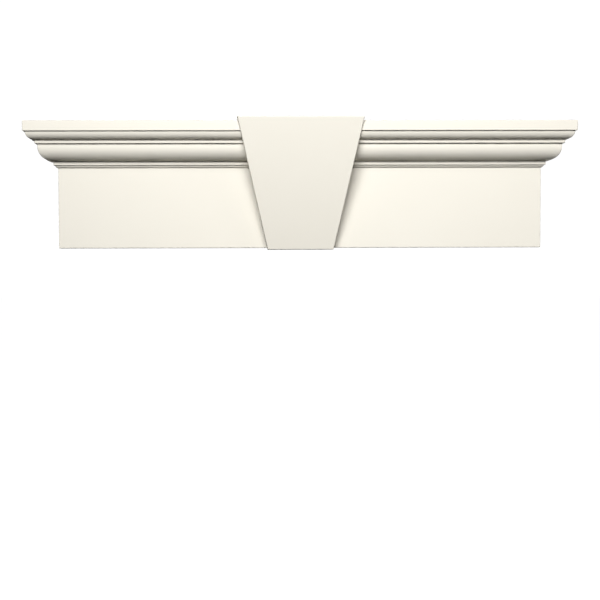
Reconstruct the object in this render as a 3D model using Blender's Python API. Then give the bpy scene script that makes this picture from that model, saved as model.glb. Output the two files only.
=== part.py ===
"""A window header: a flat panel under a crown moulding that returns to the wall at both ends, with a
tapered keystone over its middle.

Both pieces are thin moulded shells, open at the back. Metres, +Z up, +X to the right as seen from the
front. The wall is the plane y = 0 and the front faces -Y. The origin is on the rim that meets the wall,
at the middle of the panel's foot.
"""

import math

import bmesh
import bpy
from mathutils import Vector

# Overall sizes
HEADER_HEIGHT = 0.2286
PANEL_LENGTH = 0.854
PANEL_DEPTH = 0.0473
WALL = 0.0028
DRAFT = math.radians(2.0)
EDGE_RADIUS = 0.001

# The crown, from the cap down to the panel
CAP_HEIGHT = 0.018
UPPER_SETBACK = 0.0038
UPPER_RADIUS = 0.0148
UPPER_FILLET = 0.0065
LOWER_SETBACK = 0.0046
LOWER_STRAIGHT = 0.0054
LOWER_RADIUS = 0.0247
LOWER_FILLET = 0.0074
BEAD_SETBACK = 0.003
BEAD_RADIUS = 0.0045

# The keystone
KEYSTONE_TOP_WIDTH = 0.221
KEYSTONE_FOOT_WIDTH = 0.116
KEYSTONE_TOP_PROUD = 0.0093
KEYSTONE_FOOT_PROUD = 0.0187
KEYSTONE_RISE = 0.0072
KEYSTONE_FOOT_GAP = 0.0005
KEYSTONE_WALL = 0.0028
KEYSTONE_SIDE_DRAFT = math.radians(1.0)
KEYSTONE_EDGE_RADIUS = 0.0015
CLEARANCE = 0.0003

# How finely the round stretches are cut into facets
FACET_LENGTH = 0.0014
ROUNDED_EDGE_SEGMENTS = 2
SHARPEST_FACET = math.radians(30)

# Blanks run this far behind the wall plane before they are cut off flat, and the cutters further
BLANK_OVERRUN = 0.012
CUTTER_OVERRUN = 0.018

SLOPE = math.tan(DRAFT)
ROUNDS = (
    (UPPER_SETBACK, 0.0, UPPER_RADIUS),
    (LOWER_SETBACK, LOWER_STRAIGHT, LOWER_RADIUS),
    (BEAD_SETBACK, 0.0, BEAD_RADIUS),
)
CAP_DEPTH = PANEL_DEPTH + sum(setback + radius for setback, _, radius in ROUNDS)
FOOT_HEIGHT = SLOPE * PANEL_DEPTH - WALL / 2
CAP_TOP = HEADER_HEIGHT - SLOPE * CAP_DEPTH - WALL / 2

CREAM = (0.83, 0.81, 0.72, 1.0)
ROUGHNESS = 0.42


def clear_scene():
    for obj in list(bpy.data.objects):
        bpy.data.objects.remove(obj, do_unlink=True)


def new_collection(name, hidden=False):
    collection = bpy.data.collections.new(name)
    collection.hide_render = hidden
    bpy.context.scene.collection.children.link(collection)
    return collection


def plastic(name):
    material = bpy.data.materials.new(name)
    material.use_nodes = True
    shader = material.node_tree.nodes["Principled BSDF"]
    shader.inputs["Base Color"].default_value = CREAM
    shader.inputs["Roughness"].default_value = ROUGHNESS
    shader.inputs["Metallic"].default_value = 0.0
    return material


def add_object(name, bm, collection):
    """Turns the bmesh into an object whose faces point outwards."""
    bmesh.ops.recalc_face_normals(bm, faces=bm.faces)
    mesh = bpy.data.meshes.new(name)
    bm.to_mesh(mesh)
    bm.free()
    obj = bpy.data.objects.new(name, mesh)
    collection.objects.link(obj)
    return obj


def round_edges(bm, radius, back):
    """Rounds every edge and inner corner, but for those round the back, which are cut off later."""
    bmesh.ops.recalc_face_normals(bm, faces=bm.faces)
    creases = [edge for edge in bm.edges if edge.calc_face_angle() > SHARPEST_FACET]
    kept = [edge for edge in creases if min(vert.co.y for vert in edge.verts) < back - EDGE_RADIUS]
    bmesh.ops.bevel(
        bm, geom=kept, offset=radius, segments=ROUNDED_EDGE_SEGMENTS, profile=0.5, affect="EDGES", material=-1
    )


def quarter_round(depth, height, radius):
    """A convex quarter from facing forwards to facing down, as (depth, height) points after its start."""
    count = max(3, math.ceil(math.pi / 2 * radius / FACET_LENGTH))
    turns = [math.pi / 2 * step / count for step in range(1, count + 1)]
    return [(depth - radius + radius * math.cos(a), height - radius * math.sin(a)) for a in turns]


def front_profile():
    """The header's front as (depth, height) points, from the cap's top edge down to the panel's foot."""
    depth, height = CAP_DEPTH, CAP_TOP - CAP_HEIGHT
    points = [(CAP_DEPTH, CAP_TOP), (depth, height)]
    faces_below = (UPPER_FILLET, LOWER_FILLET, None)
    for (setback, straight, radius), face_below in zip(ROUNDS, faces_below):
        depth -= setback
        height -= SLOPE * setback
        points.append((depth, height))
        if straight:
            height -= straight
            points.append((depth, height))
        points += quarter_round(depth, height, radius)
        depth -= radius
        height = height - radius - face_below if face_below else FOOT_HEIGHT
        points.append((depth, height))
    return points


def grown(profile, gap):
    """Moves each face of the profile out by gap, or in where it is negative, with mitred corners."""
    (top_depth, top_height), (foot_depth, foot_height) = profile[0], profile[-1]
    above = (top_depth - 1, top_height + SLOPE)
    below = (foot_depth - 1, foot_height - SLOPE)
    chain = [Vector(point) for point in (above, *profile, below)]
    moved = []
    for before, corner, after in zip(chain, chain[1:], chain[2:]):
        normals = []
        for run in (corner - before, after - corner):
            run.normalize()
            normals.append(Vector((-run.y, run.x)))
        mitre = normals[0] + normals[1]
        moved.append(corner + mitre * gap / (1 + normals[0].dot(normals[1])))
    return moved


def header_block(gap, overrun):
    """The header's outside as a solid block, grown by gap: its section extruded down the profile."""
    sections = []
    for index, (depth, height) in enumerate(grown(front_profile(), gap)):
        half = PANEL_LENGTH / 2 + depth - PANEL_DEPTH
        reach = depth + overrun
        back_half = half + SLOPE * reach
        back_height = height + (SLOPE if index == 0 else -SLOPE) * reach
        back = [(side * back_half, overrun, back_height) for side in (-1, 1)]
        front = [(side * half, -depth, height) for side in (1, -1)]
        sections.append([Vector(point) for point in back + front])
    bm = bmesh.new()
    top = [bm.verts.new(point) for point in sections[0]]
    face = bm.faces.new(top)
    for section in sections[1:]:
        face = bmesh.ops.extrude_discrete_faces(bm, faces=[face])["faces"][0]
        for vert, point in zip(face.verts, section):
            vert.co = point
    bm.faces.new(top)
    return bm


def keystone_planes():
    """(point, outward normal) of the keystone's top, underside, front and two sides."""
    top_depth = CAP_DEPTH + KEYSTONE_TOP_PROUD
    foot_depth = PANEL_DEPTH + KEYSTONE_FOOT_PROUD
    rise = KEYSTONE_RISE - SLOPE * KEYSTONE_TOP_PROUD
    drop = KEYSTONE_FOOT_GAP + KEYSTONE_WALL - SLOPE * KEYSTONE_FOOT_PROUD
    top = Vector((KEYSTONE_TOP_WIDTH / 2, -top_depth, CAP_TOP + rise))
    foot = Vector((KEYSTONE_FOOT_WIDTH / 2, -foot_depth, FOOT_HEIGHT - drop))
    across = Vector((1, 0, 0))
    corner_line = top - foot
    backwards = Vector((math.tan(KEYSTONE_SIDE_DRAFT), 1, 0))
    right = backwards.cross(corner_line)
    left = Vector((-right.x, right.y, right.z))
    return (
        (top, Vector((0, -SLOPE, 1))),
        (foot, Vector((0, -SLOPE, -1))),
        (top, across.cross(corner_line)),
        (top, right),
        (Vector((-top.x, top.y, top.z)), left),
    )


def keystone_block(inset, overrun):
    """The keystone's outside as a solid block, its faces moved in by inset: a cube cut down by planes."""
    room = 2 * (HEADER_HEIGHT + KEYSTONE_TOP_WIDTH)
    bm = bmesh.new()
    bmesh.ops.create_cube(bm, size=room)
    bmesh.ops.translate(bm, verts=bm.verts, vec=(0, overrun - room / 2, HEADER_HEIGHT / 2))
    for point, normal in keystone_planes():
        normal.normalize()
        everything = bm.verts[:] + bm.edges[:] + bm.faces[:]
        cut = bmesh.ops.bisect_plane(
            bm, geom=everything, plane_co=point - normal * inset, plane_no=normal, clear_outer=True
        )
        rim = [part for part in cut["geom_cut"] if isinstance(part, bmesh.types.BMEdge)]
        bmesh.ops.edgenet_fill(bm, edges=rim)
    return bm


def behind_wall(collection):
    """A box that fills everything behind the wall plane."""
    width = 2 * (PANEL_LENGTH + CAP_DEPTH)
    thickness = 4 * CUTTER_OVERRUN
    bm = bmesh.new()
    bmesh.ops.create_cube(bm, size=1)
    bmesh.ops.scale(bm, verts=bm.verts, vec=(width, thickness, 3 * HEADER_HEIGHT))
    bmesh.ops.translate(bm, verts=bm.verts, vec=(0, thickness / 2, HEADER_HEIGHT / 2))
    return add_object("behind_wall", bm, collection)


def cut(obj, cutter):
    boolean = obj.modifiers.new("cut_" + cutter.name, "BOOLEAN")
    boolean.operation = "DIFFERENCE"
    boolean.solver = "EXACT"
    boolean.object = cutter


def finish(obj):
    obj.data.materials.append(plastic(obj.name + "_plastic"))
    obj.data.shade_smooth()
    obj.data.set_sharp_from_angle(angle=SHARPEST_FACET)


def make_header(parts, cutters, wall_side):
    block = header_block(0.0, BLANK_OVERRUN)
    round_edges(block, EDGE_RADIUS, BLANK_OVERRUN)
    header = add_object("header", block, parts)
    cut(header, wall_side)
    cut(header, add_object("header_hollow", header_block(-WALL, CUTTER_OVERRUN), cutters))
    finish(header)


def make_keystone(parts, cutters, wall_side):
    """The keystone is scribed to the header's moulding, with a clearance all round."""
    block = keystone_block(0.0, BLANK_OVERRUN)
    round_edges(block, KEYSTONE_EDGE_RADIUS, BLANK_OVERRUN)
    keystone = add_object("keystone", block, parts)
    cut(keystone, wall_side)
    cut(keystone, add_object("keystone_hollow", keystone_block(KEYSTONE_WALL, CUTTER_OVERRUN), cutters))
    cut(keystone, add_object("keystone_seat", header_block(CLEARANCE, CUTTER_OVERRUN), cutters))
    finish(keystone)


def main():
    clear_scene()
    parts = new_collection("window_header")
    cutters = new_collection("cutters", hidden=True)
    wall_side = behind_wall(cutters)
    make_header(parts, cutters, wall_side)
    make_keystone(parts, cutters, wall_side)
    for cutter in cutters.objects:
        cutter.hide_render = True
        cutter.display_type = "WIRE"


main()
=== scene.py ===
"""A window header as photographed: a cream moulding with a flat panel, a crown returned to the wall at
both ends, and a tapered keystone over its middle.

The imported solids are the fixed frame. Each is replaced by a finer piece of the same size: true rounded
edges, smooth rounds and a matte, finely grained surface.
"""

import math

import bmesh
import bpy
from mathutils import Matrix, Vector


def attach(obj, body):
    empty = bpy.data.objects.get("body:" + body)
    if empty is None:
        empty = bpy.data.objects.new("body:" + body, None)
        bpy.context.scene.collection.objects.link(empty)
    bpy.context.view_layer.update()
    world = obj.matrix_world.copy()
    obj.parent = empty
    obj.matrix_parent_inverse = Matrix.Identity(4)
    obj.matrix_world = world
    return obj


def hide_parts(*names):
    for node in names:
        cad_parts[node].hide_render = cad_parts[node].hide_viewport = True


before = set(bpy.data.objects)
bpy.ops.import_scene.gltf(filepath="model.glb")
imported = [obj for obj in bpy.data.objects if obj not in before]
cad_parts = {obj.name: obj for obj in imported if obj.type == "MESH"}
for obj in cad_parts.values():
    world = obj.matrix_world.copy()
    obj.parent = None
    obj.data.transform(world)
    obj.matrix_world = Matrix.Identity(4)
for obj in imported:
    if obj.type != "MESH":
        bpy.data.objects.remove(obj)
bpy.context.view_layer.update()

# Overall sizes, in metres
HEADER_HEIGHT = 0.2286
PANEL_LENGTH = 0.854
PANEL_DEPTH = 0.0473
WALL = 0.0028
DRAFT = math.radians(2.0)
ARRIS_RADIUS = 0.0014
CREASE_RADIUS = 0.0003

# The crown, from the cap down to the panel
CAP_HEIGHT = 0.018
UPPER_SETBACK = 0.0038
UPPER_RADIUS = 0.0148
UPPER_FILLET = 0.0065
LOWER_SETBACK = 0.0046
LOWER_STRAIGHT = 0.0054
LOWER_RADIUS = 0.0247
LOWER_FILLET = 0.0074
BEAD_SETBACK = 0.003
BEAD_RADIUS = 0.0045

# The keystone
KEYSTONE_TOP_WIDTH = 0.221
KEYSTONE_FOOT_WIDTH = 0.116
KEYSTONE_TOP_PROUD = 0.0093
KEYSTONE_FOOT_PROUD = 0.0187
KEYSTONE_RISE = 0.0072
KEYSTONE_FOOT_GAP = 0.0005
KEYSTONE_WALL = 0.0028
KEYSTONE_SIDE_DRAFT = math.radians(1.0)
KEYSTONE_EDGE_RADIUS = 0.0017
CLEARANCE = 0.0003

# How finely the rounds and the rounded edges are made, and how far a turn still counts as part of a round
FACET = 0.001
EDGE_FACETS = 5
SHARPEST_FACET = math.radians(30)

# How far a cutter runs on behind the wall
OVERRUN = 0.018

SLOPE = math.tan(DRAFT)
ROUNDS = (
    (UPPER_SETBACK, 0.0, UPPER_RADIUS),
    (LOWER_SETBACK, LOWER_STRAIGHT, LOWER_RADIUS),
    (BEAD_SETBACK, 0.0, BEAD_RADIUS),
)
CAP_DEPTH = PANEL_DEPTH + sum(setback + radius for setback, _, radius in ROUNDS)
FOOT_HEIGHT = SLOPE * PANEL_DEPTH - WALL / 2
CAP_TOP = HEADER_HEIGHT - SLOPE * CAP_DEPTH - WALL / 2

# The two creams that the moulding drifts between, and how much each pattern counts in the drift
CREAM_LIGHT = (0.725, 0.697, 0.622, 1.0)
CREAM_DEEP = (0.697, 0.665, 0.587, 1.0)
DRIFT_SHARE = 0.55
FLOW_SHARE = 0.25
GRAIN_SHARE = 0.2

# The matte face: its least roughness and what the patterns add to it
LEAST_ROUGHNESS = 0.63
FLOW_ROUGHNESS = 0.06
GRAIN_ROUGHNESS = 0.05

# How high the grain, the pebbles among it and the long slow waves of the moulding stand, in metres
GRAIN_HEIGHT = 0.000004
PEBBLE_HEIGHT = 0.000008
WAVE_HEIGHT = 0.00012

# Where each piece takes its patterns from, so that the two differ
HEADER_PATTERN = (0.0, 0.0, 0.0)
KEYSTONE_PATTERN = (3.7, 1.3, 2.1)

# The colour sockets of a Mix node, by number, because their names come again for each kind of data
MIX_FACTOR = 0
MIX_FIRST = 6
MIX_SECOND = 7
MIX_RESULT = 2

# The studio: white behind everything, and little light on the object from the floor and the surroundings
WHITE = (1.0, 1.0, 1.0, 1.0)
FLOOR_WHITE = (0.95, 0.95, 0.95, 1.0)
FLOOR_ROUGHNESS = 0.9
FLOOR_LEVEL = -1.3
FLOOR_REACH = 20.0
BACKDROP_STRENGTH = 1.05
FILL_STRENGTH = 0.004

# Where the softboxes aim, and how wide they spread in degrees, with a grid on the box and without
HEADER_AIM = (0, 0, 0.13)
LOW_RIGHT_AIM = (0.2, 0, -0.1)
GRID_SPREAD = 120
OPEN_SPREAD = 180

# The camera: lengths of the lens in millimetres, places in metres, angles in radians
LENS = 102.29
SENSOR_WIDTH = 36.0
CAMERA_SIGHT = 60.0
CAMERA_PLACE = (-0.0730, -3.0704, 0.0965)
CAMERA_TURN = -0.0238
CAMERA_DIP = 0.0624
CAMERA_ROLL = -0.0019


class Shade:
    """A value in a node tree. Arithmetic on it adds the Math nodes."""

    def __init__(self, tree, socket=None):
        self.tree = tree
        self.socket = socket

    def node(self, kind, settings, sockets, output=0):
        """Adds a node: its settings are set first, and then its sockets' values or links."""
        made = self.tree.nodes.new(kind)
        for name, value in settings.items():
            setattr(made, name, value)
        for name, value in sockets.items():
            if isinstance(value, Shade):
                self.tree.links.new(value.socket, made.inputs[name])
            else:
                made.inputs[name].default_value = value
        return Shade(self.tree, made.outputs[output])

    def maths(self, operation, first, second):
        return self.node("ShaderNodeMath", {"operation": operation}, {0: first, 1: second})

    def __add__(self, other):
        return self.maths("ADD", self, other)

    __radd__ = __add__

    def __mul__(self, other):
        return self.maths("MULTIPLY", self, other)

    __rmul__ = __mul__


def quarter_round(depth, height, radius):
    """A convex quarter from facing forwards to facing down, as (depth, height) points after its start."""
    count = math.ceil(math.pi / 2 * radius / FACET)
    turns = [math.pi / 2 * step / count for step in range(1, count + 1)]
    return [(depth - radius + radius * math.cos(a), height - radius * math.sin(a)) for a in turns]


def front_profile():
    """The header's front as (depth, height) points, from the cap's top edge down to the panel's foot."""
    depth, height = CAP_DEPTH, CAP_TOP - CAP_HEIGHT
    points = [(CAP_DEPTH, CAP_TOP), (depth, height)]
    faces_below = (UPPER_FILLET, LOWER_FILLET, None)
    for (setback, straight, radius), face_below in zip(ROUNDS, faces_below):
        depth -= setback
        height -= SLOPE * setback
        points.append((depth, height))
        if straight:
            height -= straight
            points.append((depth, height))
        points += quarter_round(depth, height, radius)
        depth -= radius
        height = height - radius - face_below if face_below else FOOT_HEIGHT
        points.append((depth, height))
    return points


def corners_along(profile):
    """Each point of the profile with the directions into and out of it.

    The first comes in along the top face and the last goes out along the underside, a metre of each.
    """
    (top_depth, top_height), (foot_depth, foot_height) = profile[0], profile[-1]
    above = (top_depth - 1, top_height + SLOPE)
    below = (foot_depth - 1, foot_height - SLOPE)
    chain = [Vector(point) for point in (above, *profile, below)]
    for before, corner, after in zip(chain, chain[1:], chain[2:]):
        yield corner, (corner - before).normalized(), (after - corner).normalized()


def grown(profile, gap):
    """Moves each face of the profile out by gap, or in where it is negative, with mitred corners."""
    moved = []
    for corner, run_in, run_out in corners_along(profile):
        normals = [Vector((-run.y, run.x)) for run in (run_in, run_out)]
        moved.append(corner + (normals[0] + normals[1]) * gap / (1 + normals[0].dot(normals[1])))
    return moved


def eased(profile):
    """Rounds the profile's sharp corners off, both the arrises and the inner ones."""
    points = []
    for corner, run_in, run_out in corners_along(profile):
        turn = math.atan2(run_in.cross(run_out), run_in.dot(run_out))
        if abs(turn) < SHARPEST_FACET:
            points.append(corner)
            continue
        radius = -ARRIS_RADIUS if turn < 0 else CREASE_RADIUS
        centre = corner - run_in * abs(radius) * math.tan(abs(turn) / 2)
        spoke = Vector((run_in.y, -run_in.x)) * radius
        centre -= spoke
        for step in range(EDGE_FACETS + 1):
            points.append(centre + Matrix.Rotation(turn * step / EDGE_FACETS, 2) @ spoke)
    return points


def half_length(depth):
    """Half the moulding's length where its face stands this far out from the wall."""
    return PANEL_LENGTH / 2 + depth - PANEL_DEPTH


def round_off(bm, parts, radius, affect):
    """Rounds the given corners or edges."""
    bmesh.ops.bevel(
        bm, geom=parts, offset=radius, segments=EDGE_FACETS, profile=0.5, affect=affect, material=-1
    )


def set_section(verts, before, now, back):
    """Moves a section from one point of the profile to the next: the front out or in, the ends with it.

    The first section is the top face, which rises towards the wall. Those below it fall towards the wall.
    """
    depth, height = now
    slope = SLOPE if before is None else -SLOPE
    growth = 0 if before is None else depth - before[0]
    for vert in verts:
        side = math.copysign(1, vert.co.x)
        if abs(vert.co.y - back) < CLEARANCE:
            vert.co.x = side * (half_length(depth) + SLOPE * (depth + back))
        else:
            vert.co.x += side * growth
            vert.co.y -= growth
        vert.co.z = height + slope * (depth + vert.co.y)


def moulding_block(profile, back):
    """Runs the profile across the front and back along both ends, as far as back behind the wall plane.

    Its section is a rectangle with the two front corners rounded, extruded down the profile. The steps of
    the extrusion leave strips along the back, and one flat face takes their place.
    """
    bm = bmesh.new()
    depth = profile[0][0]
    half = half_length(depth)
    corners = ((-half, back), (half, back), (half, -depth), (-half, -depth))
    outline = [bm.verts.new((x, y, 0)) for x, y in corners]
    bm.faces.new(outline)
    round_off(bm, outline[2:], ARRIS_RADIUS, "VERTICES")
    bm.faces.ensure_lookup_table()
    face = bm.faces[0]
    top = list(face.verts)
    set_section(top, None, profile[0], back)
    for before, now in zip(profile, profile[1:]):
        face = bmesh.ops.extrude_discrete_faces(bm, faces=[face])["faces"][0]
        set_section(face.verts, before, now, back)
    bm.faces.new(top)
    strips = [face for face in bm.faces if all(abs(vert.co.y - back) < CLEARANCE for vert in face.verts)]
    bmesh.ops.delete(bm, geom=strips, context="FACES")
    bmesh.ops.edgeloop_fill(bm, edges=[edge for edge in bm.edges if edge.is_boundary])
    return bm


def keystone_planes():
    """(point, outward normal) of the keystone's top, underside, front and two sides."""
    top_depth = CAP_DEPTH + KEYSTONE_TOP_PROUD
    foot_depth = PANEL_DEPTH + KEYSTONE_FOOT_PROUD
    rise = KEYSTONE_RISE - SLOPE * KEYSTONE_TOP_PROUD
    drop = KEYSTONE_FOOT_GAP + KEYSTONE_WALL - SLOPE * KEYSTONE_FOOT_PROUD
    top = Vector((KEYSTONE_TOP_WIDTH / 2, -top_depth, CAP_TOP + rise))
    foot = Vector((KEYSTONE_FOOT_WIDTH / 2, -foot_depth, FOOT_HEIGHT - drop))
    across = Vector((1, 0, 0))
    corner_line = top - foot
    backwards = Vector((math.tan(KEYSTONE_SIDE_DRAFT), 1, 0))
    right = backwards.cross(corner_line)
    left = Vector((-right.x, right.y, right.z))
    return (
        (top, Vector((0, -SLOPE, 1))),
        (foot, Vector((0, -SLOPE, -1))),
        (top, across.cross(corner_line)),
        (top, right),
        (Vector((-top.x, top.y, top.z)), left),
    )


def cut_off(bm, point, normal):
    """Cuts everything beyond a plane off a solid and closes the cut."""
    everything = bm.verts[:] + bm.edges[:] + bm.faces[:]
    cut = bmesh.ops.bisect_plane(bm, geom=everything, plane_co=point, plane_no=normal, clear_outer=True)
    rim = [part for part in cut["geom_cut"] if isinstance(part, bmesh.types.BMEdge)]
    bmesh.ops.edgenet_fill(bm, edges=rim)


def keystone_block(inset):
    """The keystone's outside as a block, its faces moved in by inset: a cube cut down by planes."""
    room = 2 * (HEADER_HEIGHT + KEYSTONE_TOP_WIDTH)
    bm = bmesh.new()
    bmesh.ops.create_cube(bm, size=room)
    bmesh.ops.translate(bm, verts=bm.verts, vec=(0, OVERRUN - room / 2, HEADER_HEIGHT / 2))
    for point, normal in keystone_planes():
        normal.normalize()
        cut_off(bm, point - normal * inset, normal)
    return bm


def keystone_outside():
    """The keystone's block with its edges rounded, cut off flat at the wall."""
    bm = keystone_block(0.0)
    bmesh.ops.recalc_face_normals(bm, faces=bm.faces)
    edges = [edge for edge in bm.edges if min(vert.co.y for vert in edge.verts) < OVERRUN - ARRIS_RADIUS]
    round_off(bm, edges, KEYSTONE_EDGE_RADIUS, "EDGES")
    cut_off(bm, Vector((0, 0, 0)), Vector((0, 1, 0)))
    return bm


def add_piece(name, bm):
    """Turns the bmesh into an object whose faces point outwards."""
    bmesh.ops.recalc_face_normals(bm, faces=bm.faces)
    mesh = bpy.data.meshes.new(name)
    bm.to_mesh(mesh)
    bm.free()
    piece = bpy.data.objects.new(name, mesh)
    bpy.context.scene.collection.objects.link(piece)
    return piece


def carve(piece, *blocks):
    """Cuts the blocks out of the piece and removes them."""
    cutters = [add_piece(f"{piece.name}_cutter_{index}", block) for index, block in enumerate(blocks)]
    for cutter in cutters:
        cut = piece.modifiers.new(cutter.name, "BOOLEAN")
        cut.operation = "DIFFERENCE"
        cut.solver = "EXACT"
        cut.object = cutter
    ready = piece.evaluated_get(bpy.context.evaluated_depsgraph_get())
    piece.data = bpy.data.meshes.new_from_object(ready)
    piece.modifiers.clear()
    for cutter in cutters:
        bpy.data.objects.remove(cutter, do_unlink=True)


def cream_plastic(name, pattern_start):
    """Moulded cream plastic: a solid colour that drifts a little, a matte face and a fine moulded grain."""
    material = bpy.data.materials.new(name)
    material.use_nodes = True
    tree = material.node_tree
    shader = tree.nodes["Principled BSDF"]
    start = Shade(tree)
    place = start.node("ShaderNodeTexCoord", {}, {}, "Object")
    place = start.node("ShaderNodeMapping", {}, {"Vector": place, "Location": pattern_start})

    def noise(scale, detail):
        return start.node("ShaderNodeTexNoise", {}, {"Vector": place, "Scale": scale, "Detail": detail})

    drift = noise(scale=7.0, detail=2.0)
    flow = noise(scale=38.0, detail=3.0)
    grain = noise(scale=1500.0, detail=2.0)
    pebble = noise(scale=420.0, detail=1.0)
    tone = DRIFT_SHARE * drift + FLOW_SHARE * flow + GRAIN_SHARE * grain
    creams = {MIX_FACTOR: tone, MIX_FIRST: CREAM_DEEP, MIX_SECOND: CREAM_LIGHT}
    colour = start.node("ShaderNodeMix", {"data_type": "RGBA"}, creams, MIX_RESULT)
    roughness = LEAST_ROUGHNESS + FLOW_ROUGHNESS * flow + GRAIN_ROUGHNESS * grain
    height = GRAIN_HEIGHT * grain + PEBBLE_HEIGHT * pebble + WAVE_HEIGHT * drift
    bump = start.node("ShaderNodeBump", {}, {"Strength": 1.0, "Distance": 1.0, "Height": height})
    tree.links.new(colour.socket, shader.inputs["Base Color"])
    tree.links.new(roughness.socket, shader.inputs["Roughness"])
    tree.links.new(bump.socket, shader.inputs["Normal"])
    return material


def finish_piece(piece, node, pattern_start):
    """Gives a piece its plastic and its smooth shading, and lets it stand for the solid."""
    slot = node + "_plastic"
    piece.data.materials.clear()
    piece.data.materials.append(cream_plastic(slot, pattern_start))
    piece.data.shade_smooth()
    piece.data.set_sharp_from_angle(angle=SHARPEST_FACET)
    smooth = piece.modifiers.new("flat_faces_stay_flat", "WEIGHTED_NORMAL")
    smooth.keep_sharp = True
    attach(piece, "root")
    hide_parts(node)


def make_header():
    """The header is the run of its profile, hollowed from the back to its wall."""
    profile = front_profile()
    header = add_piece("header_moulding", moulding_block(eased(profile), 0.0))
    carve(header, moulding_block(eased(grown(profile, -WALL)), OVERRUN))
    finish_piece(header, "header", HEADER_PATTERN)


def make_keystone():
    """The keystone is hollow, and scribed to the header with the clearance all round."""
    keystone = add_piece("keystone_moulding", keystone_outside())
    seat = moulding_block(grown(front_profile(), CLEARANCE), OVERRUN)
    carve(keystone, keystone_block(KEYSTONE_WALL), seat)
    finish_piece(keystone, "keystone", KEYSTONE_PATTERN)


def make_floor():
    """A plain white studio floor, far below, that throws no light back up."""
    bm = bmesh.new()
    bmesh.ops.create_grid(bm, x_segments=1, y_segments=1, size=FLOOR_REACH)
    bmesh.ops.translate(bm, verts=bm.verts, vec=(0, 0, FLOOR_LEVEL))
    floor = add_piece("studio_floor", bm)
    material = bpy.data.materials.new("studio_floor_white")
    material.use_nodes = True
    shader = material.node_tree.nodes["Principled BSDF"]
    shader.inputs["Base Color"].default_value = FLOOR_WHITE
    shader.inputs["Roughness"].default_value = FLOOR_ROUGHNESS
    shader.inputs["Emission Color"].default_value = WHITE
    shader.inputs["Emission Strength"].default_value = 1.0
    floor.data.materials.append(material)
    floor.visible_diffuse = False
    floor.visible_glossy = False


def make_surroundings():
    """White behind everything that the camera sees, and a much weaker even light on the object."""
    world = bpy.data.worlds.new("studio")
    bpy.context.scene.world = world
    world.use_nodes = True
    tree = world.node_tree
    seen = Shade(tree).node("ShaderNodeLightPath", {}, {}, "Is Camera Ray")
    strength = seen * (BACKDROP_STRENGTH - FILL_STRENGTH) + FILL_STRENGTH
    tree.links.new(strength.socket, tree.nodes["Background"].inputs["Strength"])
    tree.nodes["Background"].inputs["Color"].default_value = WHITE


def add_softbox(name, place, size, power, aim=HEADER_AIM, spread=OPEN_SPREAD):
    """A soft rectangular light, with its width and height in metres and its power in watts."""
    light = bpy.data.lights.new(name, "AREA")
    light.shape = "RECTANGLE"
    light.size, light.size_y = size
    light.energy = power
    light.spread = math.radians(spread)
    lamp = bpy.data.objects.new(name, light)
    lamp.location = place
    lamp.rotation_euler = (Vector(aim) - Vector(place)).to_track_quat("-Z", "Y").to_euler()
    bpy.context.scene.collection.objects.link(lamp)


def make_lights():
    """Two softboxes high in front cast the shadows. The others light the ends, the back and the underside."""
    front = {"aim": LOW_RIGHT_AIM, "spread": GRID_SPREAD}
    add_softbox("key_softbox", place=(-0.15, -2.0, 1.1), size=(1.2, 0.6), power=28.5, **front)
    add_softbox("top_softbox", place=(-0.1, -1.5, 1.3), size=(1.0, 0.5), power=4.3, **front)
    add_softbox("right_softbox", place=(2.6, -1.4, 0.6), size=(0.8, 1.2), power=7.3)
    for side in (-1, 1):
        add_softbox("end_softbox", place=(2.4 * side, 0.7, 0.3), size=(0.8, 1.0), power=12.5)
    add_softbox("rear_softbox", place=(0.0, 2.6, 0.3), size=(2.8, 1.0), power=77)
    add_softbox("low_softbox", place=(0.3, 1.6, -1.0), size=(1.2, 0.8), power=15)


def make_camera():
    """In front, a little left of the middle, looking slightly down, as the photograph was taken."""
    lens = bpy.data.cameras.new("camera")
    lens.sensor_width = SENSOR_WIDTH
    lens.lens = LENS
    lens.clip_end = CAMERA_SIGHT
    camera = bpy.data.objects.new("camera", lens)
    turn = Matrix.Rotation(CAMERA_TURN, 3, "Z") @ Matrix.Rotation(math.pi / 2 - CAMERA_DIP, 3, "X")
    camera.rotation_euler = (turn @ Matrix.Rotation(CAMERA_ROLL, 3, "Z")).to_euler()
    camera.location = CAMERA_PLACE
    bpy.context.scene.collection.objects.link(camera)
    bpy.context.scene.camera = camera


def main():
    make_camera()
    make_surroundings()
    make_lights()
    make_floor()
    make_header()
    make_keystone()
    bpy.context.scene.view_settings.view_transform = "Standard"


main()
